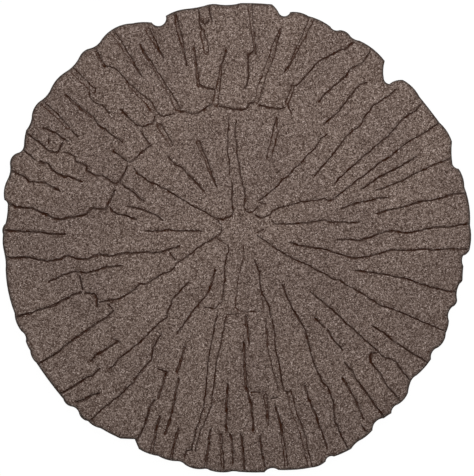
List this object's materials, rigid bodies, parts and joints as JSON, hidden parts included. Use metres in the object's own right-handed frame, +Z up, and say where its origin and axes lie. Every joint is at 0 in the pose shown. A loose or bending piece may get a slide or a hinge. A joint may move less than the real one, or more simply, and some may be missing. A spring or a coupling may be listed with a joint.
{
  "type": "garden stepping stone",
  "caption": "Round brown stepping stone moulded from bonded rubber granules as a log slice, with a wavy bark rim and drying cracks in its top; it lies flat on soil or lawn as a step.",
  "frame": {"origin": "middle of the underside, at the centre of the plan's bounding box", "axes": "+Z up through the thickness to the cracked top face; +Y is the picture's upward direction and +X its right"},
  "size_m": [0.4566, 0.4572, 0.02],
  "materials": {
    "brown_crumb_rubber": "matte brown bonded rubber granules with light and dark specks"
  },
  "bodies": {
    "root": {"stepping_stone": "brown_crumb_rubber"}
  },
  "joints": []
}
